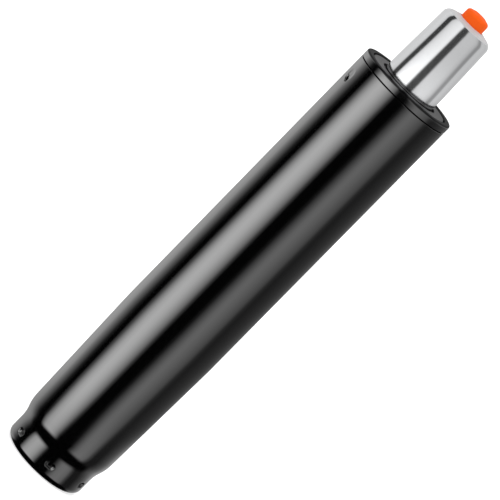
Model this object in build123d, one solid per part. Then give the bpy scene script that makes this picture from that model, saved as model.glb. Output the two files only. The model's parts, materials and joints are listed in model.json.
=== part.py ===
"""Chair gas lift cylinder, modelled piece by piece in its lowest position.

Sizes are in millimetres. The origin is the centre of the foot, and +Z points up the column.
Heights are stacked from the foot upwards, so each piece stands on the one that carries it.
"""
import os
from math import floor, pi, radians, tan

from build123d import *

# Allowances
overrun = 1.0  # how far a cutting tool passes the face that it cuts
slide_gap = 0.03  # radial play of a piece that slides or turns in another
seat_gap = 0.02  # radial play of a piece that is set into another and stays there
rest_gap = 0.3  # free space between two pieces that meet at the end of a travel
edge_break = 0.3  # small bevel on turned edges

# Driving sizes of the whole lift
stroke = 120.0
exposed_column = 38.6  # chromed length above the collar in the lowest position
button_travel = 3.5
taper_angle = 1 + 26 / 60 + 16 / 3600  # self-locking taper: 1 degree, 26 minutes and 16 seconds
taper_slope = tan(radians(taper_angle))

# Stand tube
tube_diameter = 50.0
tube_wall = 1.5
neck_diameter = 42.5
neck_height = 9.0  # where the neck starts to swell into the shoulder
taper_low = 22.0
taper_high = 84.0
taper_blend = 6.0  # half the length over which the taper softens into the straight tube
foot_rounding = 3.5
foot_lip = 1.3  # flat part of the rolled-in foot
shoulder_share = 0.5  # how far along the shoulder the pull of each of its ends reaches

# Punched dents in the neck, which hold the base plug
neck_dent_count = 6
neck_dent_diameter = 5.2
neck_dent_depth = 1.1
neck_dent_turn = 10.0  # degrees from the front

# Staking dents near the rim, which hold the guide bush
stake_count = 2
stake_drop = 9.7  # below the tube's rim
stake_diameter = 7.3
stake_depth = 1.2
stake_turn = -64.0  # degrees from the front

dent_floor_share = 0.45  # width of a dent's flat floor, as a share of its mouth
dent_spread = 0.5  # how much wider a dent is on the inside of the wall

# Collar, guide bush and wiper
collar_height = 4.2
collar_width = 3.5
collar_rounding = 1.7
collar_spigot = 3.4  # how deep the collar reaches into the tube
collar_bush_gap = 0.35
bush_length = 87.0
bush_sink = 0.4  # the bush's top face below the collar's
bush_sleeve_wall = 2.5
bush_skin_wall = 2.2
bush_rib_count = 8
bush_rib_width = 2.0
bush_head = 20.0  # solid length at the bush's top
wiper_width = 1.4
wiper_height = 4.0
wiper_sink = 0.6
wiper_lip_drop = 1.0

# Foot: base plug and the rod's fastening
plug_rim = 0.3  # land between the foot's rounding and the plug's groove
plug_head = 1.9  # plug above its groove
clip_recess_depth = 4.0
clip_recess_gap = 1.0
clip_thickness = 1.0
clip_tooth_width = 2.6
clip_tooth_turns = (-90, 0, 90)  # degrees from the middle of the clip's back
clip_mouth = 110.0  # degrees of the clip's open side
clip_rim = 1.8
clip_reach = 4.0  # from the bottom of the rod's groove to the clip's outside
clip_washer_thickness = 1.2
clip_washer_width = 4.0
axial_play = 0.15

# Swivel bearing
race_diameter = 26.0
race_thickness = 2.2
race_recess = 1.0  # how deep the lower race sits in the base plug
race_bore_gap = 1.2  # between the rod's stub and the lower race
ball_diameter = 5.0
ball_gap = 0.05
ball_pitch_share = 1.25  # distance between ball centres, in ball diameters
race_space_share = 0.68  # distance between the races, in ball diameters
cage_height_share = 0.6  # of the space between the races
cage_pocket_gap = 0.1
cage_rim = 0.9
thrust_washer_diameter = 22.0
thrust_washer_thickness = 2.0

# Buffer
bumper_height = 12.0
bumper_diameter = 22.0
bumper_bore_gap = 0.1
bumper_waist = 1.2
bumper_waist_shares = (0.2, 0.5, 0.8)  # heights of the waist's start, middle and end
bumper_waist_rounding = 3.0
bumper_rounding = 1.0
stop_washer_thickness = 1.5

# Piston rod and piston
rod_diameter = 10.0
rod_shoulder = 1.0  # step down to the stub in the foot
rod_piston_shoulder = 1.5  # step down to the spigot that holds the piston
rod_groove_depth = 1.0
rod_tip = 1.2  # rod below its clip
rod_thread_end = 1.0  # rod above its nut
piston_height = 16.0
piston_clearance = 0.05
piston_land = 3.0  # from the piston's top to its seal groove
piston_washer_thickness = 1.5
piston_washer_share = 0.8  # of the inner tube's bore
piston_nut_height = 5.5
piston_nut_sides = 6

# Pressure tube
column_diameter = 28.0
column_wall = 2.5
column_lip = 2.0  # thickness of the rolled-in lower rim
column_lip_width = 3.0
column_foot_rounding = 2.0
column_taper_length = 28.5
column_rounding = 2.4
column_crown = 1.6  # rise of the turned-in top towards the button
column_crown_lip = 0.5  # flat edge of the crown round the button

# Seal pack and gas path at the pressure tube's lower end
end_washer_thickness = 2.0
end_washer_bore_gap = 0.3
rod_guide_height = 22.0
rod_guide_relief = 0.6
rod_guide_relief_shares = (0.25, 0.75)  # heights of the relief's two ends
rod_seal_height = 5.0
rod_seal_cup_depth = 2.5
rod_seal_cup_shares = (0.35, 0.7)  # the cup's two edges across the seal
port_ring_base = 3.0
port_ring_spigot = 3.0
port_ring_bore_gap = 0.8
gas_gap = 1.5  # between the inner tube and the pressure tube
inner_tube_wall = 1.0
port_count = 4
port_slot_width = 3.0
port_slot_depth = 1.5
port_slot_share = 0.5  # how deep a slot cuts into the ring's spigot

# Valve at the pressure tube's upper end
valve_reserve = 3.6  # free length between the rod's tip and the pressed valve pin
valve_pin_diameter = 5.0
valve_pin_head_height = 2.5
valve_pin_head_rim = 1.1
valve_pin_waist_depth = 0.8
valve_pin_waist_length = 6.4
valve_pin_seal_lap = 0.6  # full pin above the lower seal at rest
valve_seat_height = 3.0
valve_bore_gap = 0.5  # gas passage round the pin
valve_ring_section = 2.0
valve_port_diameter = 1.6
valve_spigot_height = 6.0
valve_port_zone = 6.0  # length of the valve body that the gas space surrounds
valve_collar_height = 6.8
valve_chamber_height = 17.2
valve_body_height = 48.0
ring_groove_share = 0.45  # depth of a seal's groove, as a share of the wall that carries it
ring_groove_fill_share = 1.2  # height of a seal's groove, in ring sections

# Release button
button_diameter = 12.2
button_height = 5.9  # above the pressure tube's crown
button_rounding = 1.4
button_hole_gap = 0.2
button_guide_gap = 0.08
button_flange_height = 3.0
button_floor_gap = 0.5

# Radii that follow from these sizes
tube_radius = tube_diameter / 2
tube_bore = tube_radius - tube_wall
neck_radius = neck_diameter / 2
neck_bore = neck_radius - tube_wall
taper_low_radius = tube_radius - (taper_high - taper_low) * taper_slope
plug_groove_radius = neck_bore - neck_dent_depth - rest_gap
rod_radius = rod_diameter / 2
stub_radius = rod_radius - rod_shoulder
clip_groove_radius = stub_radius - rod_groove_depth
clip_radius = clip_groove_radius + clip_reach
clip_washer_radius = stub_radius + clip_washer_width
piston_spigot_radius = rod_radius - rod_piston_shoulder
race_radius = race_diameter / 2
race_bore = stub_radius + race_bore_gap
ball_radius = ball_diameter / 2
ball_circle = (race_radius + race_bore) / 2
column_radius = column_diameter / 2
column_bore = column_radius - column_wall
inner_tube_radius = column_bore - gas_gap
inner_tube_bore = inner_tube_radius - inner_tube_wall
collar_bore = tube_radius - collar_width
bush_head_radius = collar_bore - collar_bush_gap
bush_bore = column_radius + slide_gap
wiper_radius = bush_bore + wiper_width
pin_radius = valve_pin_diameter / 2
chamber_radius = pin_radius + valve_ring_section
button_radius = button_diameter / 2

# Radii of the pieces that are set into these or run in them
tube_seat = tube_bore - seat_gap
column_seat = column_bore - seat_gap
spigot_seat = inner_tube_bore - seat_gap
chamber_seat = chamber_radius - seat_gap
stub_seat = stub_radius + seat_gap
piston_seat = piston_spigot_radius + seat_gap
rod_running = rod_radius + slide_gap
valve_gas_bore = pin_radius + valve_bore_gap
bumper_bore = rod_radius + bumper_bore_gap

# Heights that follow from these sizes, from the foot upwards
plug_groove_half = neck_dent_diameter / 2 + dent_spread + rest_gap
plug_low = tube_wall
neck_dent_height = foot_rounding + plug_rim + plug_groove_half
plug_high = neck_dent_height + plug_groove_half + plug_head
taper_blend_high = taper_high + taper_blend
clip_recess_top = plug_low + clip_recess_depth
clip_washer_high = clip_recess_top - axial_play
clip_high = clip_washer_high - clip_washer_thickness
clip_low = clip_high - clip_thickness
rod_low = clip_low - rod_tip
lower_race_low = plug_high - race_recess
lower_race_high = lower_race_low + race_thickness
race_space = ball_diameter * race_space_share
ball_height = lower_race_high + race_space / 2
upper_race_low = lower_race_high + race_space
upper_race_high = upper_race_low + race_thickness
thrust_washer_high = upper_race_high + thrust_washer_thickness
bumper_high = thrust_washer_high + bumper_height
stop_washer_high = bumper_high + stop_washer_thickness
column_low = stop_washer_high + rest_gap
end_washer_low = column_low + column_lip
rod_guide_low = end_washer_low + end_washer_thickness
rod_seal_low = rod_guide_low + rod_guide_height
port_ring_low = rod_seal_low + rod_seal_height
inner_tube_low = port_ring_low + port_ring_base
port_ring_high = inner_tube_low + port_ring_spigot
piston_washer_low = port_ring_high + stroke + rest_gap
piston_low = piston_washer_low + piston_washer_thickness
piston_high = piston_low + piston_height
piston_nut_high = piston_high + piston_nut_height
rod_high = piston_nut_high + rod_thread_end
pin_low = rod_high + button_travel + valve_reserve
valve_low = pin_low + valve_pin_head_height
valve_seat_high = valve_low + valve_seat_height
valve_step = valve_low + valve_spigot_height
valve_collar_low = valve_step + valve_port_zone
valve_port_height = valve_step + valve_port_zone / 2
valve_barrel_low = valve_collar_low + valve_collar_height
valve_chamber_high = valve_low + valve_chamber_height
valve_high = valve_low + valve_body_height
column_shoulder = valve_high + column_wall
column_high = column_shoulder + column_crown
column_taper_low = column_shoulder - column_rounding - column_taper_length
button_high = column_high + button_height
button_flange_high = valve_high - rest_gap
button_low = button_flange_high - button_flange_height
button_well_low = button_low - button_travel - button_floor_gap
collar_high = column_high - exposed_column
tube_high = collar_high - collar_height
stake_height = tube_high - stake_drop
bush_high = collar_high - bush_sink
bush_low = bush_high - bush_length
bush_step = tube_high - collar_spigot - rest_gap
wiper_high = bush_high - wiper_sink
wiper_low = wiper_high - wiper_height

# How a tool stands on its local origin
upright = (Align.CENTER, Align.CENTER, Align.MIN)
outward = (Align.MIN, Align.CENTER, Align.MIN)


def column_bore_at(height):
    """Inside radius of the pressure tube, which narrows with its outside towards the top."""
    return column_bore - max(0, height - column_taper_low) * taper_slope


# Seal grooves, and the button's flange, which share the wall between two pieces
piston_groove_radius = inner_tube_bore - (inner_tube_bore - piston_spigot_radius) * ring_groove_share
piston_ring_section = inner_tube_bore - piston_groove_radius
piston_ring_height = piston_high - piston_land - piston_ring_section * ring_groove_fill_share / 2
spigot_groove_radius = inner_tube_bore - (inner_tube_bore - chamber_radius) * ring_groove_share
spigot_ring_section = inner_tube_bore - spigot_groove_radius
spigot_ring_height = valve_low + valve_spigot_height / 2
valve_collar_bore = column_bore_at(valve_barrel_low)
collar_groove_radius = valve_collar_bore - valve_ring_section
collar_ring_height = valve_collar_low + valve_collar_height / 2
button_flange_radius = (button_radius + column_bore_at(valve_high)) / 2


def turned(*outline):
    """Turn a closed outline of lines, drawn as (radius, height), about the vertical axis."""
    return revolve(Plane.XZ * make_face(outline), Axis.Z)


def turned_corners(*corners, rounding=None):
    """Turn a closed outline given by its corners, some of them rounded by {corner: radius}."""
    if not rounding:
        return turned(Polyline(*corners, close=True))
    radii = [rounding.get(index, 0) for index in range(len(corners))]
    return turned(FilletPolyline(*corners, radius=radii, close=True))


def ring(outer, inner, low, high):
    """Turned ring between two radii and two heights."""
    return turned_corners((inner, low), (outer, low), (outer, high), (inner, high))


def bevelled_ring(outer, inner, low, high):
    """Turned ring with its two outer edges broken."""
    return turned_corners(
        (inner, low),
        (outer - edge_break, low),
        (outer, low + edge_break),
        (outer, high - edge_break),
        (outer - edge_break, high),
        (inner, high),
    )


def seal_ring(inner, outer, height):
    """Round-section seal between two radii, with a small play on each side."""
    return Pos(0, 0, height) * Torus((inner + outer) / 2, (outer - inner) / 2 - seat_gap)


def groove_cutter(bottom, surface, height, section):
    """Turned cutter of a seal's groove in the outside of a piece."""
    half = section * ring_groove_fill_share / 2
    return ring(surface + overrun, bottom, height - half, height + half)


def at_turn(turn, height):
    """Place of a tool whose local Z axis points outwards, turned from the front of the object."""
    return Pos(0, 0, height) * Rot(0, 0, turn) * Rot(90, 0, 0)


def even_turns(count, first=0):
    """Angles of evenly spread copies, in degrees."""
    return [first + index * 360 / count for index in range(count)]


def dent_cone(surface, mouth, depth, reach):
    """Round dent below a surface's radius, reaching past the surface, along the local Z axis."""
    slope = mouth * (1 - dent_floor_share) / depth
    cone = Cone(mouth - depth * slope, mouth + reach * slope, depth + reach, align=upright)
    return Pos(0, 0, surface - depth) * cone


def dented(tube, outer, diameter, depth, turns, height):
    """Punch round dents into the stand tube: hollows outside, and bosses of the same form inside."""
    mouth = diameter / 2
    boss = dent_cone(outer - tube_wall, mouth + dent_spread, depth, tube_wall / 2)
    hollow = dent_cone(outer, mouth, depth, overrun)
    for turn in turns:
        tube += at_turn(turn, height) * boss
    for turn in turns:
        tube -= at_turn(turn, height) * hollow
    return tube


def gas_ports(reach):
    """Round ports drilled from the axis outwards, which line up in all the pieces they cross."""
    drill = Cylinder(valve_port_diameter / 2, reach, align=upright)
    return [at_turn(turn, valve_port_height) * drill for turn in even_turns(port_count)]


def tube_side(inset):
    """Lines of the stand tube's side up to its straight part, drawn inwards of the outside."""
    neck = neck_radius - inset
    low = taper_low_radius - inset
    high = tube_radius - inset
    pull = (taper_low - neck_height) * shoulder_share
    blend_low = (high - taper_blend * taper_slope, taper_high - taper_blend)
    foot_centre = (neck_radius - foot_rounding, foot_rounding)
    return [
        CenterArc(foot_centre, foot_rounding - inset, 270, 90),
        Line((neck, foot_rounding), (neck, neck_height)),
        Bezier(
            (neck, neck_height),
            (neck, neck_height + pull),
            (low - pull * taper_slope, taper_low - pull),
            (low, taper_low),
        ),
        Line((low, taper_low), blend_low),
        Bezier(blend_low, (high, taper_high), (high, taper_blend_high)),
    ]


def stand_tube():
    """Steel tube with a tapered lower half, a narrower neck, a rolled-in foot and punched dents."""
    foot_edge = neck_radius - foot_rounding
    lip_edge = foot_edge - foot_lip
    straight = Polyline(
        (tube_radius, taper_blend_high),
        (tube_radius, tube_high - edge_break),
        (tube_radius - edge_break, tube_high),
        (tube_bore, tube_high),
        (tube_bore, taper_blend_high),
    )
    lip = Polyline((foot_edge, tube_wall), (lip_edge, tube_wall), (lip_edge, 0), (foot_edge, 0))
    tube = turned(*tube_side(0), straight, *tube_side(tube_wall), lip)
    neck_turns = even_turns(neck_dent_count, neck_dent_turn)
    tube = dented(tube, neck_radius, neck_dent_diameter, neck_dent_depth, neck_turns, neck_dent_height)
    stake_turns = even_turns(stake_count, stake_turn)
    return dented(tube, tube_radius, stake_diameter, stake_depth, stake_turns, stake_height)


def top_collar():
    """Ring on the tube's rim, with a spigot inside the tube and a fine joint line between them."""
    return turned_corners(
        (collar_bore, tube_high - collar_spigot),
        (tube_seat, tube_high - collar_spigot),
        (tube_seat, tube_high),
        (tube_radius - edge_break, tube_high),
        (tube_radius, tube_high + edge_break),
        (tube_radius, collar_high),
        (collar_bore + edge_break, collar_high),
        (collar_bore, collar_high - edge_break),
        rounding={5: collar_rounding},
    )


def guide_bush():
    """Long ribbed sleeve that guides the pressure tube, with pockets for the staking dents."""
    wiper_seat = wiper_radius + seat_gap
    bush = turned_corners(
        (bush_bore + edge_break, bush_low),
        (tube_seat, bush_low),
        (tube_seat, bush_step),
        (bush_head_radius, bush_step),
        (bush_head_radius, bush_high - edge_break),
        (bush_head_radius - edge_break, bush_high),
        (wiper_seat, bush_high),
        (wiper_seat, wiper_low),
        (bush_bore, wiper_low),
        (bush_bore, bush_low + edge_break),
    )
    hollow_out = tube_seat - bush_skin_wall
    hollow = ring(hollow_out, bush_bore + bush_sleeve_wall, bush_low - overrun, bush_high - bush_head)
    rib = Pos(0, 0, bush_low - overrun) * Box(tube_seat, bush_rib_width, bush_length, align=outward)
    for turn in even_turns(bush_rib_count):
        hollow -= Rot(0, 0, turn) * rib
    bush -= hollow
    pocket_radius = stake_diameter / 2 + dent_spread + rest_gap
    pocket_depth = stake_depth + rest_gap
    pocket = Cylinder(pocket_radius, pocket_depth + overrun, align=upright)
    pocket = Pos(0, 0, tube_bore - pocket_depth) * pocket
    for turn in even_turns(stake_count, stake_turn):
        bush -= at_turn(turn, stake_height) * pocket
    return bush


def wiper_ring():
    """Rubber ring in the bush's top, whose lip slopes up to the pressure tube."""
    return turned_corners(
        (bush_bore, wiper_low),
        (wiper_radius, wiper_low),
        (wiper_radius, wiper_high - wiper_lip_drop),
        (bush_bore + edge_break, wiper_high),
        (bush_bore, wiper_high),
    )


def base_plug():
    """Thick disc on the rolled-in foot, with a groove for the dents and seats for bearing and clip."""
    bevel = foot_rounding - tube_wall
    outer = neck_bore - seat_gap
    groove_low = neck_dent_height - plug_groove_half
    groove_high = neck_dent_height + plug_groove_half
    recess = clip_washer_radius + clip_recess_gap
    race_seat = race_radius + seat_gap
    bore = stub_radius + slide_gap
    return turned_corners(
        (recess, plug_low),
        (outer - bevel, plug_low),
        (outer, plug_low + bevel),
        (outer, groove_low),
        (plug_groove_radius, groove_low),
        (plug_groove_radius, groove_high),
        (outer, groove_high),
        (outer, plug_high),
        (race_seat, plug_high),
        (race_seat, lower_race_low),
        (bore, lower_race_low),
        (bore, clip_recess_top),
        (recess, clip_recess_top),
    )


def ball_track():
    """Turned cutter of the groove that the balls run in, shared by both races."""
    return Pos(0, 0, ball_height) * Torus(ball_circle, ball_radius + ball_gap)


def lower_race():
    """Bearing race that stays with the base plug."""
    return bevelled_ring(race_radius, race_bore, lower_race_low, lower_race_high) - ball_track()


def upper_race():
    """Bearing race that turns with the rod."""
    return bevelled_ring(race_radius, stub_seat, upper_race_low, upper_race_high) - ball_track()


def ball_places():
    """Centres of the balls, as many as the track holds at their pitch."""
    count = floor(2 * pi * ball_circle / (ball_diameter * ball_pitch_share))
    return [Rot(0, 0, turn) * Pos(ball_circle, 0, ball_height) for turn in even_turns(count)]


def ball_cage():
    """Flat ring with a round pocket for each ball."""
    half_width = ball_radius + cage_pocket_gap + cage_rim
    half_height = race_space * cage_height_share / 2
    low = ball_height - half_height
    cage = ring(ball_circle + half_width, ball_circle - half_width, low, ball_height + half_height)
    for place in ball_places():
        cage -= place * Sphere(ball_radius + cage_pocket_gap)
    return cage


def bearing_balls():
    """The balls, as separate solids."""
    return Compound([place * Sphere(ball_radius) for place in ball_places()])


def thrust_washer():
    """Washer that takes the rod's shoulder."""
    outer = thrust_washer_diameter / 2
    return bevelled_ring(outer, stub_seat, upper_race_high, thrust_washer_high)


def bumper():
    """Waisted rubber buffer round the rod."""
    outer = bumper_diameter / 2
    start, middle, end = [thrust_washer_high + bumper_height * share for share in bumper_waist_shares]
    return turned_corners(
        (bumper_bore, thrust_washer_high),
        (outer, thrust_washer_high),
        (outer, start),
        (outer - bumper_waist, middle),
        (outer, end),
        (outer, bumper_high),
        (bumper_bore, bumper_high),
        rounding={1: bumper_rounding, 3: bumper_waist_rounding, 5: bumper_rounding},
    )


def stop_washer():
    """Washer on the buffer, which the pressure tube meets in its lowest position."""
    return bevelled_ring(bumper_diameter / 2, bumper_bore, bumper_high, stop_washer_high)


def piston_rod():
    """Rod with a grooved stub in the foot and a spigot for the piston at the top."""
    return turned_corners(
        (0, rod_low),
        (clip_groove_radius, rod_low),
        (stub_radius, clip_low - edge_break),
        (stub_radius, clip_low),
        (clip_groove_radius, clip_low),
        (clip_groove_radius, clip_high),
        (stub_radius, clip_high),
        (stub_radius, thrust_washer_high),
        (rod_radius, thrust_washer_high),
        (rod_radius, piston_washer_low),
        (piston_spigot_radius, piston_washer_low),
        (piston_spigot_radius, rod_high - edge_break),
        (piston_spigot_radius - edge_break, rod_high),
        (0, rod_high),
    )


def clip_washer():
    """Washer between the base plug and the clip."""
    return bevelled_ring(clip_washer_radius, stub_seat, clip_high, clip_washer_high)


def retaining_clip():
    """Open clip whose three teeth reach into the rod's groove, with its back to the front."""
    inner = clip_radius - clip_rim
    closed = 360 - clip_mouth
    corners = [(inner, clip_low), (clip_radius, clip_low), (clip_radius, clip_high), (inner, clip_high)]
    section = Plane.XZ * make_face(Polyline(*corners, close=True))
    clip = Rot(0, 0, -90 - closed / 2) * revolve(section, Axis.Z, closed)
    tooth = Box(clip_radius - clip_rim / 2, clip_tooth_width, clip_thickness, align=outward)
    for turn in clip_tooth_turns:
        clip += Rot(0, 0, turn - 90) * Pos(0, 0, clip_low) * tooth
    return clip - ring(clip_groove_radius + seat_gap, 0, clip_low - overrun, clip_high + overrun)


def piston_washer():
    """Washer under the piston, which meets the port ring at full height."""
    outer = inner_tube_bore * piston_washer_share
    return bevelled_ring(outer, piston_seat, piston_washer_low, piston_low)


def piston():
    """Piston with one seal groove."""
    outer = inner_tube_bore - piston_clearance
    body = bevelled_ring(outer, piston_seat, piston_low, piston_high)
    return body - groove_cutter(piston_groove_radius, outer, piston_ring_height, piston_ring_section)


def piston_seal():
    """Seal between the piston and the inner tube."""
    return seal_ring(piston_groove_radius, inner_tube_bore, piston_ring_height)


def piston_nut():
    """Hexagon nut that holds the piston on the rod."""
    corner_radius = (piston_spigot_radius + inner_tube_bore) / 2
    hexagon = Pos(0, 0, piston_high) * RegularPolygon(corner_radius, piston_nut_sides)
    nut = extrude(hexagon, piston_nut_height)
    return nut - ring(piston_seat, 0, piston_high - overrun, piston_nut_high + overrun)


def pressure_tube():
    """Chromed tube, rolled in below its end washer, tapered at the top and turned in round the button."""
    lip = column_bore - column_lip_width
    hole = button_radius + button_hole_gap
    corner_radius = column_radius - (column_shoulder - column_taper_low) * taper_slope
    return turned_corners(
        (lip, column_low),
        (column_radius, column_low),
        (column_radius, column_taper_low),
        (corner_radius, column_shoulder),
        (hole + column_crown_lip, column_high),
        (hole, column_high),
        (hole, valve_high),
        (column_bore_at(valve_high), valve_high),
        (column_bore, column_taper_low),
        (column_bore, end_washer_low),
        (lip, end_washer_low),
        rounding={1: column_foot_rounding, 3: column_rounding, 4: column_crown_lip},
    )


def end_washer():
    """Washer on the pressure tube's rolled-in rim."""
    return ring(column_seat, rod_radius + end_washer_bore_gap, end_washer_low, rod_guide_low)


def rod_guide():
    """Long sleeve that guides the rod, relieved in its middle."""
    relief_low, relief_high = [
        rod_guide_low + rod_guide_height * share for share in rod_guide_relief_shares
    ]
    guide = bevelled_ring(column_seat, rod_running, rod_guide_low, rod_seal_low)
    return guide - ring(column_seat + overrun, column_seat - rod_guide_relief, relief_low, relief_high)


def rod_seal():
    """Cup seal of the rod, open towards the gas."""
    cup_in, cup_out = [rod_running + (column_seat - rod_running) * share for share in rod_seal_cup_shares]
    seal = ring(column_seat, rod_running, rod_seal_low, port_ring_low)
    return seal - ring(cup_out, cup_in, port_ring_low - rod_seal_cup_depth, port_ring_low + overrun)


def gas_port_ring():
    """Ring that centres the inner tube, with slots that let gas round the tube's lower edge."""
    bore = rod_radius + port_ring_bore_gap
    body = turned_corners(
        (bore, port_ring_low),
        (column_seat, port_ring_low),
        (column_seat, inner_tube_low),
        (spigot_seat, inner_tube_low),
        (spigot_seat, port_ring_high - edge_break),
        (spigot_seat - edge_break, port_ring_high),
        (bore, port_ring_high),
    )
    slot_start = spigot_seat - (spigot_seat - bore) * port_slot_share
    slot_height = port_slot_depth + port_ring_spigot + overrun
    slot = Box(column_bore + overrun - slot_start, port_slot_width, slot_height, align=outward)
    slot = Pos(slot_start, 0, inner_tube_low - port_slot_depth) * slot
    for turn in even_turns(port_count):
        body -= Rot(0, 0, turn) * slot
    return body


def inner_tube():
    """Tube that the piston runs in."""
    return ring(inner_tube_radius, inner_tube_bore, inner_tube_low, valve_step)


def valve_body():
    """Plug in the pressure tube's top: spigot, gas ports, sealing collar, and a well for the button."""
    well = button_flange_radius + button_guide_gap
    pin_bore = pin_radius + slide_gap
    collar = valve_collar_bore - seat_gap
    body = turned_corners(
        (chamber_radius, valve_low),
        (spigot_seat, valve_low),
        (spigot_seat, valve_step),
        (inner_tube_radius, valve_step),
        (inner_tube_radius, valve_collar_low),
        (collar, valve_collar_low),
        (collar, valve_barrel_low),
        (column_bore_at(valve_high) - seat_gap, valve_high),
        (well, valve_high),
        (well, button_well_low),
        (pin_bore, button_well_low),
        (pin_bore, valve_chamber_high),
        (chamber_radius, valve_chamber_high),
    )
    body -= groove_cutter(spigot_groove_radius, spigot_seat, spigot_ring_height, spigot_ring_section)
    body -= groove_cutter(collar_groove_radius, collar, collar_ring_height, valve_ring_section)
    return body - gas_ports(inner_tube_radius + overrun)


def body_seal():
    """Seal between the valve body and the pressure tube."""
    return seal_ring(collar_groove_radius, valve_collar_bore, collar_ring_height)


def spigot_seal():
    """Seal between the valve body and the inner tube."""
    return seal_ring(spigot_groove_radius, inner_tube_bore, spigot_ring_height)


def valve_seat():
    """Plug that holds the valve's seals and stops the pin's head."""
    return ring(chamber_seat, valve_gas_bore, valve_low, valve_seat_high)


def lower_pin_seal():
    """Seal that the pin's waist opens when it is pressed down."""
    return seal_ring(pin_radius, chamber_radius, valve_seat_high + valve_ring_section / 2)


def valve_spacer():
    """Drilled sleeve between the two pin seals."""
    low = valve_seat_high + valve_ring_section
    high = valve_chamber_high - valve_ring_section
    return ring(chamber_seat, valve_gas_bore, low, high) - gas_ports(inner_tube_radius)


def upper_pin_seal():
    """Seal that keeps the gas from the button."""
    return seal_ring(pin_radius, chamber_radius, valve_chamber_high - valve_ring_section / 2)


def valve_pin():
    """Waisted pin with a head below the valve seat."""
    waist = pin_radius - valve_pin_waist_depth
    waist_low = valve_seat_high + valve_ring_section + valve_pin_seal_lap
    waist_high = waist_low + valve_pin_waist_length
    head = pin_radius + valve_pin_head_rim
    return turned_corners(
        (0, pin_low),
        (head - edge_break, pin_low),
        (head, pin_low + edge_break),
        (head, valve_low),
        (pin_radius, valve_low),
        (pin_radius, waist_low),
        (waist, waist_low + valve_pin_waist_depth),
        (waist, waist_high - valve_pin_waist_depth),
        (pin_radius, waist_high),
        (pin_radius, button_low),
        (0, button_low),
    )


def release_button():
    """Round button on the valve pin, held in the tube by its flange."""
    return turned_corners(
        (0, button_low),
        (button_flange_radius - edge_break, button_low),
        (button_flange_radius, button_low + edge_break),
        (button_flange_radius, button_flange_high),
        (button_radius, button_flange_high),
        (button_radius, button_high),
        (0, button_high),
        rounding={5: button_rounding},
    )


makers = [
    stand_tube,
    top_collar,
    guide_bush,
    wiper_ring,
    base_plug,
    lower_race,
    ball_cage,
    bearing_balls,
    upper_race,
    thrust_washer,
    bumper,
    stop_washer,
    piston_rod,
    clip_washer,
    retaining_clip,
    piston_washer,
    piston,
    piston_seal,
    piston_nut,
    pressure_tube,
    end_washer,
    rod_guide,
    rod_seal,
    gas_port_ring,
    inner_tube,
    valve_body,
    body_seal,
    spigot_seal,
    valve_seat,
    lower_pin_seal,
    valve_spacer,
    upper_pin_seal,
    valve_pin,
    release_button,
]

os.makedirs("parts", exist_ok=True)
for maker in makers:
    export_step(maker(), f"parts/{maker.__name__}.step")
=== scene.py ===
"""Chair gas lift cylinder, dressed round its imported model. Lengths are in metres, +Z is up."""
import json
from math import cos, pi, radians, sin, tan

import bpy
from mathutils import Matrix, Vector


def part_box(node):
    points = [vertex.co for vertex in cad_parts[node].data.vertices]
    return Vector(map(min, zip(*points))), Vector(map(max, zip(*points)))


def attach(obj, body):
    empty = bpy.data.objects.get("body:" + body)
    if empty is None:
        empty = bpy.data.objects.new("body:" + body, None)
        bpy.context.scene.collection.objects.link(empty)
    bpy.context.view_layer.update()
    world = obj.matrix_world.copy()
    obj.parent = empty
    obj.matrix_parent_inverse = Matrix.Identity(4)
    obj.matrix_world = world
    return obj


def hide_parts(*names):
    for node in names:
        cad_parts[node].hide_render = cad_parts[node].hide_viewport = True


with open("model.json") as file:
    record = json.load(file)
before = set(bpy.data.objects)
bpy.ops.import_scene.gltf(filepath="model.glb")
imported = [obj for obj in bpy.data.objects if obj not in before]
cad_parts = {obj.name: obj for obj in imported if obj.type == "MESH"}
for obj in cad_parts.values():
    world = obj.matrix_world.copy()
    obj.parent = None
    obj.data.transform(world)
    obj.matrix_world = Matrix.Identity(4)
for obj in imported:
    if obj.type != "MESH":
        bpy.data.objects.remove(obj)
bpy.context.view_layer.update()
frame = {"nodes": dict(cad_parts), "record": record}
mm = 0.001
smooth_angle = 30

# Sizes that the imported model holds
tube_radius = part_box("stand_tube")[1].x
tube_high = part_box("stand_tube")[1].z
collar_low, collar_high = (corner.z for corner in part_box("top_collar"))
column_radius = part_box("pressure_tube")[1].x
column_low, column_high = (corner.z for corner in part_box("pressure_tube"))
end_washer_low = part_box("end_washer")[0].z
valve_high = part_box("valve_body")[1].z
button_low, button_high = (corner.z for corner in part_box("release_button"))
button_flange_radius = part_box("release_button")[1].x

# Stand tube
tube_wall = 1.5 * mm
neck_radius = 21.25 * mm
neck_high = 9.0 * mm
foot_rounding = 3.5 * mm
foot_lip = 1.3 * mm
taper_low = 22.0 * mm
taper_high = 84.0 * mm
taper_blend = 6.0 * mm
taper_slope = tan(radians(1 + 26 / 60 + 16 / 3600))
shoulder_share = 0.5
rim_rounding = 0.15 * mm
tube_segments = 288
foot_steps = 10
shoulder_steps = 24
taper_blend_steps = 8
rim_steps = 4

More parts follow.
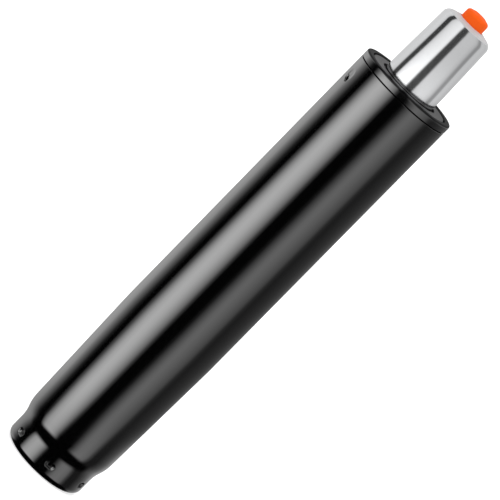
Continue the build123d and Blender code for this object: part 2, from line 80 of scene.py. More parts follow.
# Punched dents: the neck's hold the base plug, and the two near the rim hold the guide bush
neck_dent_height = 7.05 * mm
neck_dent_mouth = 1.95 * mm
neck_dent_depth = 1.1 * mm
neck_dent_spread = (1.8, 0)
neck_dent_turns = [10 + 60 * index for index in range(6)]
stake_height = tube_high - 8.6 * mm
stake_mouth = 3.65 * mm
stake_depth = 0.35 * mm
stake_tip_drop = 2.4 * mm  # the punch's corner went deeper below the middle
stake_tip_mouth = 1.4 * mm
stake_tip_depth = 1.2 * mm
stake_tip_spread = (2.2, -0.55 * mm)
stake_dull = 0.42 * mm  # depth at which the paint in a staking dent begins to turn dull
stake_dull_full = 1.5 * stake_dull
stake_turns = [-66, 114]
dent_floor_share = 0.4
dent_spread_shares = (-1, -0.5, 0, 0.5, 1)  # where along its spread a dent is pressed
dent_margin = 1.2 * mm
dent_row = 0.42 * mm

# Collar
collar_bore = tube_radius - 3.35 * mm
collar_spigot_gap = 0.02 * mm
collar_spigot_radius = tube_radius - tube_wall - collar_spigot_gap
collar_rounding = 0.9 * mm
collar_edge = 0.5 * mm
collar_steps = 10
collar_edge_steps = 4
joint_height = 0.5 * mm
joint_depth = 1.0 * mm
joint_edge = 0.1 * mm
matte_soft = 0.45 * mm  # height over which the gloss wanes on the upper rounding
matte_gloss = 0.15

# Pressure tube
column_wall = 2.5 * mm
column_lip = 3.0 * mm
column_foot_rounding = 2.0 * mm
column_foot_steps = 8
column_fillet = 2.4 * mm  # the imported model's rounding, above which the taper ends
column_crown = 1.6 * mm
column_shoulder = column_high - column_crown
column_round_width = 4.2 * mm
column_round_height = 3.5 * mm
column_round_drop = 0.35 * mm
column_round_turn = 70
column_round_steps = 16
column_satin_low = column_high - 1.15 * mm
column_satin_soft = 0.3 * mm
crown_slope = tan(radians(16.9))
crown_edge = 0.35 * mm
crown_edge_steps = 6
column_taper_length = 28.5 * mm
column_taper_low = column_shoulder - column_fillet - column_taper_length
column_segments = 160

# Release button
button_radius = 6.1 * mm
button_hole_gap = 0.2 * mm
button_rounding = 1.7 * mm
button_round_turn = 80
button_round_steps = 10
button_crown = 0.7 * mm
button_crown_share = 0.5  # of the crown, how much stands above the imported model's flat face
button_edge = 0.3 * mm
button_flange_high = valve_high - 0.3 * mm
button_segments = 96

# Camera, at the photograph's viewing angle
camera_distance = 1.860
camera_rise = radians(11.03)
camera_roll = radians(44.46)
camera_lens = 300.1
camera_height_mark = 133.74 * mm
camera_aim = Vector((-0.05 * mm, 0, 137.0 * mm))


def arc(centre_radius, centre_height, radius, start, end, steps):
    """Points (radius, height) on a round corner, from one angle to another in degrees."""
    turns = [radians(start + (end - start) * index / steps) for index in range(steps + 1)]
    return [
        (centre_radius + radius * cos(turn), centre_height + radius * sin(turn)) for turn in turns
    ]


def rows(start, end, step):
    """Points from one (radius, height) to another, about a step apart, without the first one."""
    count = max(1, round((Vector(end) - Vector(start)).length / step))
    return [tuple(Vector(start).lerp(Vector(end), index / count)) for index in range(1, count + 1)]


def bezier(start, pull_start, pull_end, end, steps):
    """Points on a curve with two pulls, without the first one."""
    points = []
    for index in range(1, steps + 1):
        share = index / steps
        rest = 1 - share
        weights = (rest ** 3, 3 * rest ** 2 * share, 3 * rest * share ** 2, share ** 3)
        corners = (start, pull_start, pull_end, end)
        points.append(tuple(sum(w * c[axis] for w, c in zip(weights, corners)) for axis in (0, 1)))
    return points


def deselect():
    """Leave nothing selected, so that an operator acts on the new piece alone."""
    bpy.ops.object.select_all(action="DESELECT")


def start_turning(name, radius, height, segments):
    """Ring in edit mode, from which a turned piece is raised."""
    deselect()
    bpy.ops.mesh.primitive_circle_add(vertices=segments, radius=radius)
    piece = bpy.context.object
    piece.name = name
    bpy.ops.object.mode_set(mode="EDIT")
    bpy.ops.mesh.select_all(action="SELECT")
    bpy.ops.transform.translate(value=(0, 0, height))
    return piece


def raise_rings(outline):
    """Extrude the selected ring through the outline's points, scaling it to each new radius."""
    radius, height = outline[0]
    for next_radius, next_height in outline[1:]:
        lift = {"value": (0, 0, next_height - height)}
        bpy.ops.mesh.extrude_region_move(TRANSFORM_OT_translate=lift)
        scale = next_radius / radius
        bpy.ops.transform.resize(value=(scale, scale, 1), center_override=(0, 0, 0))
        radius, height = next_radius, next_height


def finish_turning(piece):
    """Close the seam, turn the faces outwards and smooth all but the sharp edges."""
    bpy.ops.mesh.select_all(action="SELECT")
    bpy.ops.mesh.remove_doubles(threshold=0.001 * mm)
    bpy.ops.mesh.normals_make_consistent(inside=False)
    bpy.ops.mesh.select_all(action="DESELECT")
    bpy.ops.object.mode_set(mode="OBJECT")
    bpy.ops.object.shade_smooth_by_angle(angle=radians(smooth_angle))
    return piece


def settle_shading(piece):
    """Let the large faces set the shading, so that a rounding stays at its edge."""
    shading = piece.modifiers.new("shading", "WEIGHTED_NORMAL")
    shading.keep_sharp = True
    bpy.ops.object.modifier_apply(modifier=shading.name)
    return piece


def turned(name, outline, segments):
    """Piece turned from a closed outline of (radius, height) points."""
    piece = start_turning(name, *outline[0], segments)
    raise_rings(outline + outline[:1])
    return settle_shading(finish_turning(piece))


def outward(turn):
    """Level direction away from the axis, turned from the front of the object in degrees."""
    return Vector((sin(radians(turn)), -cos(radians(turn)), 0))


def select_near(piece, centres, reach, parts):
    """In edit mode, select the vertices or faces that lie within reach of any of the points."""
    bpy.ops.mesh.select_all(action="DESELECT")
    bpy.ops.mesh.select_mode(type="VERT" if parts == "vertices" else "FACE")
    bpy.ops.object.mode_set(mode="OBJECT")
    for part in getattr(piece.data, parts):
        place = part.co if parts == "vertices" else part.center
        part.select = any((place - centre).length < reach for centre in centres)
    bpy.ops.object.mode_set(mode="EDIT")


def refine(piece, radius, height, turn, reach):
    """Divide the faces of a patch where a dent will be punched."""
    select_near(piece, [place_on(radius, height, turn)], reach, "polygons")
    bpy.ops.mesh.subdivide(number_cuts=1)


def press(piece, radius, height, turn, mouth, depth, spread=(0, 0)):
    """Press a flat-floored dent into fine faces, drawn out both ways by (degrees, height)."""
    across, along = spread
    centres = [
        place_on(radius, height + share * along, turn + share * across)
        for share in dent_spread_shares
    ]
    floor_reach = mouth * dent_floor_share
    select_near(piece, centres, floor_reach, "vertices")
    bpy.ops.transform.translate(
        value=-outward(turn) * depth,
        use_proportional_edit=True,
        proportional_edit_falloff="SMOOTH",
        proportional_size=mouth - floor_reach,
    )


def place_on(radius, height, turn):
    """Point on a turned surface."""
    return outward(turn) * radius + Vector((0, 0, height))


def make_stand_tube():
    """Tapered tube with a shoulder, a neck, a rolled-in foot and its punched dents."""
    foot_centre = neck_radius - foot_rounding
    taper_low_radius = tube_radius - (taper_high - taper_low) * taper_slope
    pull = (taper_low - neck_high) * shoulder_share
    stake_zone = stake_mouth + dent_margin
    blend_low = (tube_radius - taper_blend * taper_slope, taper_high - taper_blend)
    blend_middle = (tube_radius, taper_high)
    blend_high = (tube_radius, taper_high + taper_blend)
    shoulder = bezier(
        (neck_radius, neck_high),
        (neck_radius, neck_high + pull),
        (taper_low_radius - pull * taper_slope, taper_low - pull),
        (taper_low_radius, taper_low),
        shoulder_steps,
    )
    outline = [(foot_centre - foot_lip, 0)]
    outline += arc(foot_centre, foot_rounding, foot_rounding, 270, 360, foot_steps)
    outline += rows(outline[-1], (neck_radius, neck_high), dent_row)
    outline += shoulder
    outline += rows(shoulder[-1], blend_low, taper_low)
    outline += bezier(blend_low, blend_middle, blend_middle, blend_high, taper_blend_steps)
    outline += rows(blend_high, (tube_radius, stake_height - stake_zone), taper_low)
    outline += rows(outline[-1], (tube_radius, stake_height + stake_zone), dent_row)
    rim_centre = (tube_radius - rim_rounding, tube_high - rim_rounding)
    outline += arc(*rim_centre, rim_rounding, 0, 90, rim_steps)
    outline += [(tube_radius - tube_wall / 2, tube_high)]
    piece = start_turning("painted_stand_tube", *outline[0], tube_segments)
    raise_rings(outline)
    for turn in neck_dent_turns:
        place = (piece, neck_radius, neck_dent_height, turn)
        refine(*place, neck_dent_mouth + dent_margin)
        press(*place, neck_dent_mouth, neck_dent_depth, neck_dent_spread)
    for turn in stake_turns:
        place = (piece, tube_radius, stake_height, turn)
        tip_place = (piece, tube_radius, stake_height - stake_tip_drop, turn)
        refine(*place, stake_zone)
        press(*place, stake_mouth, stake_depth)
        press(*tip_place, stake_tip_mouth, stake_tip_depth, stake_tip_spread)
    finish_turning(piece)
    wall = piece.modifiers.new("wall", "SOLIDIFY")
    wall.thickness = tube_wall
    wall.offset = -1
    bpy.ops.object.modifier_apply(modifier=wall.name)
    return settle_shading(piece)


def make_collar():
    """Ring on the tube's rim, with a rounded upper edge."""
    top_centre = (tube_radius - collar_rounding, collar_high - collar_rounding)
    joint_radius = tube_radius - joint_depth
    joint_high = tube_high + joint_height
    bore_centre = (collar_bore + collar_edge, collar_high - collar_edge)
    outline = [(collar_bore, collar_low), (collar_spigot_radius, collar_low)]
    outline += [(collar_spigot_radius, tube_high), (joint_radius, tube_high)]
    outline += [(joint_radius, joint_high), (tube_radius - joint_edge, joint_high)]
    outline += [(tube_radius, joint_high + joint_edge)]
    outline += arc(*top_centre, collar_rounding, 0, 90, collar_steps)
    outline += arc(*bore_centre, collar_edge, 90, 180, collar_edge_steps)
    return turned("moulded_collar", outline, tube_segments)


def make_pressure_tube():
    """Chromed tube, rolled in at its foot, tapered at the top and turned in round the button."""
    top_radius = column_radius - (column_shoulder - column_taper_low) * taper_slope
    bore = column_radius - column_wall
    hole = button_radius + button_hole_gap
    lip = bore - column_lip
    foot_centre = (column_radius - column_foot_rounding, column_low + column_foot_rounding)
    round_low = column_high - column_round_drop - column_round_height
    outline = [(lip, end_washer_low), (lip, column_low)]
    outline += arc(*foot_centre, column_foot_rounding, 270, 360, column_foot_steps)
    outline += rows(outline[-1], (column_radius, column_taper_low), taper_low)
    outline += rows(outline[-1], (top_radius, round_low), taper_low)
    for index in range(1, column_round_steps + 1):
        turn = radians(column_round_turn * index / column_round_steps)
        across = top_radius - column_round_width * (1 - cos(turn))
        outline += [(across, round_low + column_round_height * sin(turn))]
    round_radius, round_high = outline[-1]
    edge_radius = hole + crown_edge
    edge_high = round_high + (round_radius - edge_radius) * crown_slope
    outline += rows(outline[-1], (edge_radius, edge_high), 2 * crown_edge)
    outline += arc(edge_radius, edge_high - crown_edge, crown_edge, 90, 180, crown_edge_steps)[1:]
    outline += [(hole, valve_high)]
    outline += [(bore - (valve_high - column_taper_low) * taper_slope, valve_high)]
    outline += [(bore, column_taper_low), (bore, end_washer_low)]
    return turned("chromed_pressure_tube", outline, column_segments)


def make_button():
    """Round button with a soft edge, a faintly crowned face and the flange that holds it in."""
    top = button_high + button_crown * button_crown_share
    round_centre = (button_radius - button_rounding, top - button_crown - button_rounding)
    outline = [(button_flange_radius - button_edge, button_low)]
    outline += [(button_flange_radius, button_low + button_edge)]
    outline += [(button_flange_radius, button_flange_high), (button_radius, button_flange_high)]
    outline += arc(*round_centre, button_rounding, 0, button_round_turn, button_round_steps)
    outline += rows(outline[-1], (button_radius / 2, top - button_crown / 4), button_crown * 2)
    outline += rows(outline[-1], (button_radius / 8, top), button_crown * 2)
    piece = start_turning("moulded_release_button", *outline[0], button_segments)
    bpy.ops.mesh.edge_face_add()
    raise_rings(outline)
    bpy.ops.mesh.merge(type="CENTER")
    return settle_shading(finish_turning(piece))


def add(tree, kind, inputs=None, **settings):
    """Add a node. An input is a number, a colour or another node's output."""
    node = tree.nodes.new("ShaderNode" + kind)
    for key, value in settings.items():
        setattr(node, key, value)
    for key, value in (inputs or {}).items():
        if isinstance(value, bpy.types.NodeSocket):
            tree.links.new(value, node.inputs[key])
        else:
            node.inputs[key].default_value = value
    return node


def calculate(tree, operation, *values):
    """Output of a Math node."""
    return add(tree, "Math", dict(enumerate(values)), operation=operation).outputs[0]


def mix(tree, share, low, high):
    """Output of a Mix node: low where the share is 0 and high where it is 1."""
    return add(tree, "Mix", {0: share, 2: low, 3: high}).outputs[0]


def stretch(tree, vector, factor):
    """A vector, or a colour, times a factor."""
    return add(tree, "VectorMath", {0: vector, "Scale": factor}, operation="SCALE").outputs[0]


def length(tree, vector):
    """Length of a vector."""
    return add(tree, "VectorMath", {0: vector}, operation="LENGTH").outputs["Value"]


def combine(tree, x, y, z=0.0):
    """Vector made of three values."""
    return add(tree, "CombineXYZ", {0: x, 1: y, 2: z}).outputs[0]


def object_place(tree):
    """Place on the piece, in its own coordinates."""
    return add(tree, "TexCoord").outputs["Object"]


def object_axes(tree):
    """The three values of the place on the piece."""
    return add(tree, "SeparateXYZ", {0: object_place(tree)}).outputs


def rise(tree, height, low, high, start=0.0, end=1.0):
    """Value that runs softly from start to end between two heights."""
    inputs = {"Value": height, "From Min": low, "From Max": high, "To Min": start, "To Max": end}
    return add(tree, "MapRange", inputs, interpolation_type="SMOOTHSTEP").outputs[0]


def new_group(name, inputs, outputs):
    """Node group; returns its tree, its input sockets and its output node."""
    tree = bpy.data.node_groups.new(name, "ShaderNodeTree")
    for label, kind, value in inputs:
        socket = tree.interface.new_socket(label, in_out="INPUT", socket_type="NodeSocket" + kind)
        socket.default_value = value
    for label, kind in outputs:
        tree.interface.new_socket(label, in_out="OUTPUT", socket_type="NodeSocket" + kind)
    entry = tree.nodes.new("NodeGroupInput")
    leave = tree.nodes.new("NodeGroupOutput")
    return tree, entry.outputs, leave


def use_group(tree, group, **inputs):
    """Place a group in a material with its own values; returns its outputs."""
    node = tree.nodes.new("ShaderNodeGroup")
    node.node_tree = group
    for key, value in inputs.items():
        socket = node.inputs[key.replace("_", " ")]
        if isinstance(value, bpy.types.NodeSocket):
            tree.links.new(value, socket)
        else:
            socket.default_value = value
    return node.outputs


def make_mottle():
    """Slow and fine variation of a colour and a roughness, as in paint, plating or moulding."""
    tree, given, leave = new_group(
        "mottle",
        [
            ("Color", "Color", (0.5, 0.5, 0.5, 1)), ("Tint", "Float", 0.1),
            ("Roughness", "Float", 0.3), ("Roughness Spread", "Float", 0.05),
            ("Scale", "Float", 60.0),
        ],
        [("Color", "Color"), ("Roughness", "Float")],
    )
    place = object_place(tree)
    broad = add(tree, "TexNoise", {"Vector": place, "Scale": given["Scale"], "Detail": 3.0})
    fine_scale = calculate(tree, "MULTIPLY", given["Scale"], mottle_fineness)
    fine = add(tree, "TexNoise", {"Vector": place, "Scale": fine_scale, "Detail": 2.0})
    both = calculate(tree, "ADD", broad.outputs[0], fine.outputs[0])
    swing = calculate(tree, "SUBTRACT", both, 1.0)
    tint = calculate(tree, "MULTIPLY_ADD", swing, given["Tint"], 1.0)
    rough = calculate(tree, "MULTIPLY_ADD", swing, given["Roughness Spread"], given["Roughness"])
    tree.links.new(stretch(tree, given["Color"], tint), leave.inputs["Color"])
    tree.links.new(rough, leave.inputs["Roughness"])
    return tree


def make_turning_marks():
    """Height of the fine rings that turning, grinding or drawing leaves round the axis."""
    tree, given, leave = new_group(
        "turning marks",
        [("Pitch", "Float", 0.2 * mm), ("Drift", "Float", 30.0)],
        [("Height", "Float")],
    )
    axes = object_axes(tree)
    level = combine(tree, axes[0], axes[1])
    across = combine(tree, length(tree, level), axes[2])
    rings = stretch(tree, across, calculate(tree, "DIVIDE", 1.0, given["Pitch"]))
    drift = stretch(tree, level, given["Drift"])
    both = add(tree, "VectorMath", {0: rings, 1: drift}, operation="ADD").outputs[0]
    noise = add(tree, "TexNoise", {"Vector": both, "Scale": 1.0, "Detail": 2.0})
    tree.links.new(noise.outputs[0], leave.inputs["Height"])
    return tree


def make_grain():
    """Height of a fine round grain, such as a paint's flow marks or a moulding's texture."""
    tree, given, leave = new_group(
        "grain",
        [("Size", "Float", 0.5 * mm), ("Fineness", "Float", 1.0)],
        [("Height", "Float")],
    )
    place = object_place(tree)
    scale = calculate(tree, "DIVIDE", 1.0, given["Size"])
    noise = add(tree, "TexNoise", {"Vector": place, "Scale": scale, "Detail": given["Fineness"]})
    tree.links.new(noise.outputs[0], leave.inputs["Height"])
    return tree


def make_edge_mask():
    """Mask of the outer edges, along which the colour is lightened as a painted highlight on metals
    and darkened as painted shade on plastics.
    """
    tree, given, leave = new_group("edge mask", [("Width", "Float", 0.3 * mm)], [("Mask", "Float")])
    soft = add(tree, "Bevel", {"Radius": given["Width"]}, samples=4).outputs[0]
    plain = add(tree, "NewGeometry").outputs["Normal"]
    match = add(tree, "VectorMath", {0: soft, 1: plain}, operation="DOT_PRODUCT").outputs["Value"]
    mask = add(tree, "MapRange", {"Value": match, "From Min": 1.0, "From Max": edge_match})
    tree.links.new(mask.outputs[0], leave.inputs["Mask"])
    return tree


mottle_fineness = 14.0  # how much finer the fine variation is than the slow one
edge_match = 0.8  # how far the normals agree where an edge counts as full
mottle = make_mottle()
turning_marks = make_turning_marks()
grain = make_grain()
edge_mask = make_edge_mask()
edge_width = 1.0 * mm
# painted highlight: the share by which the metals' colour is lightened along their edges
painted_edge_highlight = 0.3
# painted shade: the share by which the plastics' and rubber's colour is darkened along their edges
painted_edge_shade = -0.45
coat_roughness = 0.075
coat_ior = 1.85


def new_material(name):
    """Material with an empty Principled shader; returns the material, its tree and the shader."""
    material = bpy.data.materials.new(name)
    material.use_nodes = True
    tree = material.node_tree
    return material, tree, tree.nodes["Principled BSDF"]


def bump(tree, shader, height, depth):
    """Raise the surface by a height that runs from 0 to 1, times a depth in metres."""
    made = add(tree, "Bump", {"Height": height, "Strength": 1.0, "Distance": depth})
    tree.links.new(made.outputs[0], shader.inputs["Normal"])


def surface(tree, shader, color, roughness, tint=0.1, spread=0.03, scale=60.0, edge=None):
    """Give a shader its varied colour and roughness, and along its edges a lighter colour as a
    painted highlight or a darker one as painted shade.
    """
    varied = {"Color": (*color, 1), "Tint": tint, "Roughness": roughness}
    outputs = use_group(tree, mottle, **varied, Roughness_Spread=spread, Scale=scale)
    shade = outputs["Color"]
    if edge is not None:
        # painted highlight or painted shade along the edges, as the edge value sets
        mask = use_group(tree, edge_mask, Width=edge_width)["Mask"]
        shade = stretch(tree, shade, calculate(tree, "MULTIPLY_ADD", mask, edge, 1.0))
    tree.links.new(shade, shader.inputs["Base Color"])
    tree.links.new(outputs["Roughness"], shader.inputs["Roughness"])
    return outputs


def top_gloss(tree):
    """Gloss of the collar, which is missing in the joint and wanes on the upper rounding."""
    height = object_axes(tree)[2]
    matte_low = collar_high - collar_rounding
    joint_high = tube_high + joint_height
    waning = rise(tree, height, matte_low, matte_low + matte_soft, 1.0, matte_gloss)
    outside = rise(tree, height, joint_high, joint_high + joint_edge)
    return calculate(tree, "MULTIPLY", waning, outside)


def dent_gloss(tree):
    """Gloss of the stand tube, which ends where the staking dents go deep."""
    axes = object_axes(tree)
    radius = length(tree, combine(tree, axes[0], axes[1]))
    shallow = rise(tree, radius, tube_radius - stake_dull_full, tube_radius - stake_dull)
    below = calculate(tree, "LESS_THAN", axes[2], taper_high + taper_blend)
    return calculate(tree, "MAXIMUM", shallow, below)


def gloss_black(name, color, grain_size, depth, gloss):
    """Black paint or plastic: a dark coat with faint flow marks under a clear gloss."""
    material, tree, shader = new_material(name)
    surface(tree, shader, color, 0.3, tint=0.2, spread=0.05, scale=40.0)
    shader.inputs["Specular IOR Level"].default_value = 0.0
    tree.links.new(gloss(tree), shader.inputs["Coat Weight"])
    shader.inputs["Coat Roughness"].default_value = coat_roughness
    shader.inputs["Coat IOR"].default_value = coat_ior
    height = use_group(tree, grain, Size=grain_size, Fineness=1.0)["Height"]
    bump(tree, shader, height, depth)
    return material


def plastic(name, color, roughness, grain_size, depth, gloss=0.5):
    """Moulded plastic with a fine grain."""
    material, tree, shader = new_material(name)
    # the edges get painted shade, a darker colour along them
    surface(tree, shader, color, roughness, tint=0.1, spread=0.06, edge=painted_edge_shade)
    shader.inputs["Specular IOR Level"].default_value = gloss
    height = use_group(tree, grain, Size=grain_size, Fineness=3.0)["Height"]
    bump(tree, shader, height, depth)
    return material


def chromed_column(name, color, roughness, satin):
    """Ground chrome, satin on the formed face round the button."""
    material, tree, shader = new_material(name)
    outputs = surface(tree, shader, color, roughness, tint=0.03, spread=0.05, scale=90.0)
    height = object_axes(tree)[2]
    on_face = rise(tree, height, column_satin_low, column_satin_low + column_satin_soft)
    rough = mix(tree, on_face, outputs["Roughness"], satin)
    tree.links.new(rough, shader.inputs["Roughness"])
    tree.links.new(mix(tree, on_face, 1.0, 1 - satin), shader.inputs["Metallic"])
    marks = use_group(tree, turning_marks, Pitch=0.18 * mm)["Height"]
    bump(tree, shader, marks, 0.0003 * mm)
    return material


def metal(name, color, roughness, pitch, depth, tint=0.08):
    """Turned, ground or drawn metal, with rings round its axis."""
    material, tree, shader = new_material(name)
    # the edges get a painted highlight, a lighter colour along them
    surface(tree, shader, color, roughness, tint=tint, spread=0.05, scale=90.0, edge=painted_edge_highlight)
    shader.inputs["Metallic"].default_value = 1.0
    height = use_group(tree, turning_marks, Pitch=pitch)["Height"]
    bump(tree, shader, height, depth)
    return material


materials = {
    "black_paint": gloss_black(
        "black gloss paint", (0.0012, 0.0012, 0.0013), 1.1 * mm, 0.0015 * mm, dent_gloss
    ),
    "collar_plastic": gloss_black(
        "black moulded plastic", (0.002, 0.002, 0.0022), 0.6 * mm, 0.001 * mm, top_gloss
    ),
    "bush_plastic": plastic(
        "black matte plastic", (0.018, 0.018, 0.019), 0.45, 0.3 * mm, 0.01 * mm, gloss=0.32
    ),
    "rubber": plastic(
        "black rubber", (0.008, 0.008, 0.008), 0.65, 0.2 * mm, 0.02 * mm, gloss=0.2
    ),
    "bumper_rubber": plastic("buffer rubber", (0.02, 0.02, 0.02), 0.65, 0.25 * mm, 0.02 * mm),
    "guide_plastic": plastic("white bearing plastic", (0.75, 0.74, 0.7), 0.4, 0.4 * mm, 0.01 * mm),
    "button_plastic": plastic(
        "orange button plastic", (1.0, 0.125, 0.012), 0.5, 0.35 * mm, 0.008 * mm, gloss=0.05
    ),
    "zinc_steel": metal("zinc plated steel", (0.62, 0.64, 0.68), 0.34, 0.25 * mm, 0.004 * mm),
    "spring_steel": metal("spring steel", (0.16, 0.15, 0.15), 0.38, 0.2 * mm, 0.004 * mm),
    "bearing_steel": metal("ground bearing steel", (0.5, 0.5, 0.51), 0.2, 0.15 * mm, 0.002 * mm),
    "ball_steel": metal("polished ball steel", (0.62, 0.62, 0.63), 0.06, 0.1 * mm, 0.0002 * mm),
    "cage_brass": metal("cage brass", (0.72, 0.5, 0.22), 0.3, 0.2 * mm, 0.004 * mm),
    "column_chrome": chromed_column("ground chrome", (0.66, 0.665, 0.675), 0.13, satin=0.6),
    "rod_chrome": metal(
        "hard chromed rod", (0.6, 0.6, 0.61), 0.12, 0.15 * mm, 0.0003 * mm, tint=0.03
    ),
    "tube_steel": metal("drawn steel tube", (0.42, 0.42, 0.43), 0.35, 0.3 * mm, 0.004 * mm),
    "piston_metal": metal("turned aluminium", (0.72, 0.73, 0.74), 0.28, 0.2 * mm, 0.004 * mm),
    "valve_metal": metal("turned zinc alloy", (0.5, 0.5, 0.5), 0.32, 0.22 * mm, 0.004 * mm),
    "valve_brass": metal("turned brass", (0.75, 0.52, 0.22), 0.22, 0.15 * mm, 0.003 * mm),
}


def dress_nodes():
    """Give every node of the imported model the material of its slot."""
    for part in frame["record"]["subparts"]:
        slots = frame["nodes"][part["node"]].data.materials
        slots.clear()
        slots.append(materials[part["material_slot"]])


def dress(piece, body, node, slot):
    """Give a modelled piece its material, and let it stand for its node."""
    piece.data.materials.append(materials[slot])
    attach(piece, body)
    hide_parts(node)


dress_nodes()
dress(make_stand_tube(), "stand", "stand_tube", "black_paint")
dress(make_collar(), "stand", "top_collar", "collar_plastic")
dress(make_pressure_tube(), "gas_cylinder", "pressure_tube", "column_chrome")
dress(make_button(), "release", "release_button", "button_plastic")

# Light tent: strips of light round the object, as (degrees from the camera's side, level)
tent_radius = 0.15
tent_low = -0.12
tent_high = 0.56
tent_segments = 96
tube_strips = [
    (-180, 0.3), (-150, 0.7), (-131, 1.3), (-118, 1.5), (-108, 1.0), (-98, 0.5), (-90, 0.1),
    (-82, 0.0), (-74, 0.0), (-67, 0.7), (-59, 2.5), (-52, 3.8), (-43, 4.5), (-34, 4.1), (-28, 3.4),
    (-22, 2.5), (-16, 1.5), (-11, 0.4), (-6, 0.0), (11, 0.0), (17, 0.08), (23, 0.45), (29, 0.85),
    (35, 1.2), (41, 1.3), (52, 1.05), (67, 0.6), (74, 0.2), (82, 0.1), (122, 0.2), (180, 0.3),
]
neck_strips = [
    (-180, 0.3), (-150, 0.6), (-131, 1.0), (-118, 1.1), (-108, 0.8), (-98, 0.4), (-90, 0.08),
    (-82, 0.0), (-68, 0.0), (-61, 1.5), (-54, 3.0), (-43, 3.7), (-34, 3.5), (-26, 2.8), (-19, 1.5),
    (-13, 0.2), (-9, 0.0), (20, 0.0), (26, 0.35), (32, 0.9), (39, 1.35), (50, 1.45), (62, 1.1),
    (69, 0.4), (76, 0.08), (92, 0.08), (115, 0.4), (140, 0.8), (180, 0.6),
]
column_foot_strips = [
    (-180, 0.75), (-143, 0.82), (-117, 0.93), (-94, 0.93), (-89, 0.07), (-73, 0.06), (-68, 1.2),
    (-51, 1.5), (-25, 1.74), (-17, 1.68), (-11, 0.1), (12, 0.1), (18, 1.08), (60, 1.06),
    (75, 0.91), (88, 0.42), (98, 0.48), (104, 0.85), (117, 0.83), (143, 0.62), (180, 0.6),
]
column_top_strips = [
    (-180, 0.8), (-143, 0.88), (-117, 0.97), (-98, 0.92), (-93, 0.05), (-73, 0.045), (-68, 0.87),
    (-51, 1.09), (-25, 1.26), (-17, 1.22), (-11, 0.07), (12, 0.07), (18, 0.78), (60, 0.76),
    (75, 0.66), (88, 0.36), (98, 0.4), (104, 0.75), (117, 0.78), (143, 0.7), (180, 0.7),
]
column_strips_low = collar_high - 17.4 * mm  # where the column's strips take over from the tube's
column_strips_soft = 0.3 * mm
column_strips_height = 36 * mm
column_squeeze = (1.0, 1.09)  # how far the column's strips draw together, from foot to top
neck_strips_high = 12 * mm
neck_strips_soft = 38 * mm
lean_low = column_high - 3 * mm  # above this the strips lean back over the object
dark_floor_high = (-0.05, -0.08)  # in front of the object and behind it
floor_soft = 0.045


def strip_light(tree, turn, strips):
    """Level of a row of strips at a turn round the object, given in radians."""
    peak = max(level for angle, level in strips)
    share = add(tree, "MapRange", {"Value": turn, "From Min": -pi, "From Max": pi}).outputs[0]
    ramp = add(tree, "ValToRGB", {0: share})
    stops = ramp.color_ramp.elements
    stops.remove(stops[-1])
    for index, (angle, level) in enumerate(strips):
        place = (angle + 180) / 360
        stop = stops[0] if index == 0 else stops.new(place)
        stop.position = place
        stop.color = (*[level / peak] * 3, 1)
    return calculate(tree, "MULTIPLY", ramp.outputs[0], peak)


def make_tent():
    """Tent of strip lights and dark gaps, which only reflections see."""
    deselect()
    middle = (tent_high + tent_low) / 2
    bpy.ops.mesh.primitive_cylinder_add(
        vertices=tent_segments,
        radius=tent_radius,
        depth=tent_high - tent_low,
        location=(0, 0, middle),
    )
    bpy.ops.object.transform_apply(location=True, rotation=False, scale=False)
    tent = bpy.context.object
    tent.name = "light_tent"
    material = bpy.data.materials.new("tent light")
    material.use_nodes = True
    tree = material.node_tree
    tree.nodes.clear()
    axes = object_axes(tree)
    above = calculate(tree, "MAXIMUM", calculate(tree, "SUBTRACT", axes[2], lean_low), 0.0)
    reach = length(tree, combine(tree, axes[0], axes[1], above))
    half_turn = calculate(tree, "ARCTAN2", axes[0], calculate(tree, "SUBTRACT", reach, axes[1]))
    turn = calculate(tree, "MULTIPLY", half_turn, 2.0)
    on_neck = rise(tree, axes[2], neck_strips_high - neck_strips_soft, neck_strips_high, 1.0, 0.0)
    plain_light = strip_light(tree, turn, tube_strips)
    neck_light = strip_light(tree, turn, neck_strips)
    tube_light = mix(tree, on_neck, plain_light, neck_light)
    column_strips_high = column_strips_low + column_strips_height
    squeeze = rise(tree, axes[2], column_strips_low, column_strips_high, *column_squeeze)
    column_turn = calculate(tree, "MULTIPLY", turn, squeeze)
    foot_light = strip_light(tree, column_turn, column_foot_strips)
    top_light = strip_light(tree, column_turn, column_top_strips)
    risen = rise(tree, axes[2], column_strips_low, column_strips_high)
    column_light = mix(tree, risen, foot_light, top_light)
    on_column = rise(tree, axes[2], column_strips_low, column_strips_low + column_strips_soft)
    strips = mix(tree, on_column, tube_light, column_light)
    behind = rise(tree, axes[1], 0, tent_radius / 2, *dark_floor_high)
    over_floor = calculate(tree, "SUBTRACT", axes[2], behind)
    floor_edge = rise(tree, over_floor, -floor_soft, 0)
    level = calculate(tree, "MULTIPLY", strips, floor_edge)
    glow = add(tree, "Emission", {"Strength": level})
    add(tree, "OutputMaterial", {"Surface": glow.outputs[0]})
    material.cycles.emission_sampling = "NONE"
    tent.data.materials.append(material)
    for kind in ("camera", "diffuse", "transmission", "volume_scatter", "shadow"):
        setattr(tent, "visible_" + kind, False)


# Floor and lamps
floor_size = 24.0
floor_drop = 0.05 * mm
floor_shade = 0.8
floor_roughness = 0.9
floor_glow = 0.62
world_level = 0.62
lamp_power = 10.5
lamps = [  # name, place, size and power in shares of the lamp power
    ("key_lamp", (-1.2, -1.4, 2.0), 1.4, 2),
    ("fill_lamp", (1.6, -0.6, 1.4), 1.6, 1),
    ("back_lamp", (0.3, 1.8, 1.8), 1.4, 1),
]


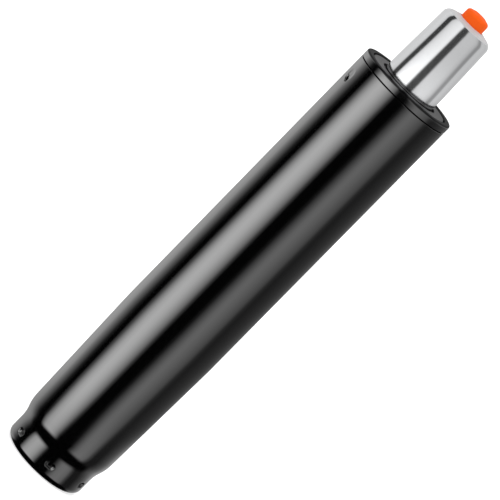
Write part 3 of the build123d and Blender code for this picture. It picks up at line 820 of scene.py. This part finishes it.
def make_floor():
    """Pale floor that looks white and keeps a soft shadow; reflections see the tent instead."""
    deselect()
    bpy.ops.mesh.primitive_plane_add(size=floor_size, location=(0, 0, -floor_drop))
    floor = bpy.context.object
    floor.name = "floor"
    material = bpy.data.materials.new("pale floor")
    material.use_nodes = True
    tree = material.node_tree
    shader = tree.nodes["Principled BSDF"]
    shader.inputs["Base Color"].default_value = (floor_shade, floor_shade, floor_shade, 1)
    shader.inputs["Roughness"].default_value = floor_roughness
    shader.inputs["Specular IOR Level"].default_value = 0.0
    seen = add(tree, "LightPath").outputs["Is Camera Ray"]
    glow = calculate(tree, "MULTIPLY", seen, floor_glow)
    shader.inputs["Emission Color"].default_value = (1, 1, 1, 1)
    tree.links.new(glow, shader.inputs["Emission Strength"])
    floor.data.materials.append(material)
    floor.visible_glossy = False


def make_world():
    """White to the camera and in reflections, and a plain soft light on everything else."""
    world = bpy.data.worlds.new("studio")
    bpy.context.scene.world = world
    world.use_nodes = True
    tree = world.node_tree
    tree.nodes.clear()
    path = add(tree, "LightPath").outputs
    seen = calculate(tree, "MAXIMUM", path["Is Camera Ray"], path["Is Glossy Ray"])
    seen = calculate(tree, "MAXIMUM", seen, path["Is Transmission Ray"])
    level = mix(tree, seen, world_level, 1.0)
    light = add(tree, "Background", {"Color": (1, 1, 1, 1), "Strength": level})
    add(tree, "OutputWorld", {"Surface": light.outputs[0]})


def make_lamp(name, place, size, power):
    """Large soft lamp that faces the middle of the object and stays out of reflections."""
    deselect()
    bpy.ops.object.light_add(type="AREA", location=place)
    lamp = bpy.context.object
    lamp.name = name
    lamp.data.size = size
    lamp.data.energy = power
    lamp.rotation_euler = (camera_aim - Vector(place)).to_track_quat("-Z", "Y").to_euler()
    lamp.visible_glossy = False


def make_camera():
    """Camera at the photograph's viewing angle, rolled as the photograph is."""
    level = camera_distance * cos(camera_rise)
    place = Vector((0, -level, camera_height_mark + camera_distance * sin(camera_rise)))
    deselect()
    bpy.ops.object.camera_add(location=place)
    camera = bpy.context.object
    aim = (camera_aim - place).to_track_quat("-Z", "Y").to_matrix().to_4x4()
    camera.matrix_world = Matrix.Translation(place) @ aim @ Matrix.Rotation(camera_roll, 4, "Z")
    camera.data.lens = camera_lens
    bpy.context.scene.camera = camera


make_tent()
make_floor()
make_world()
for lamp_name, lamp_place, lamp_size, power_share in lamps:
    make_lamp(lamp_name, lamp_place, lamp_size, lamp_power * power_share)
make_camera()
bpy.context.scene.view_settings.view_transform = "Standard"
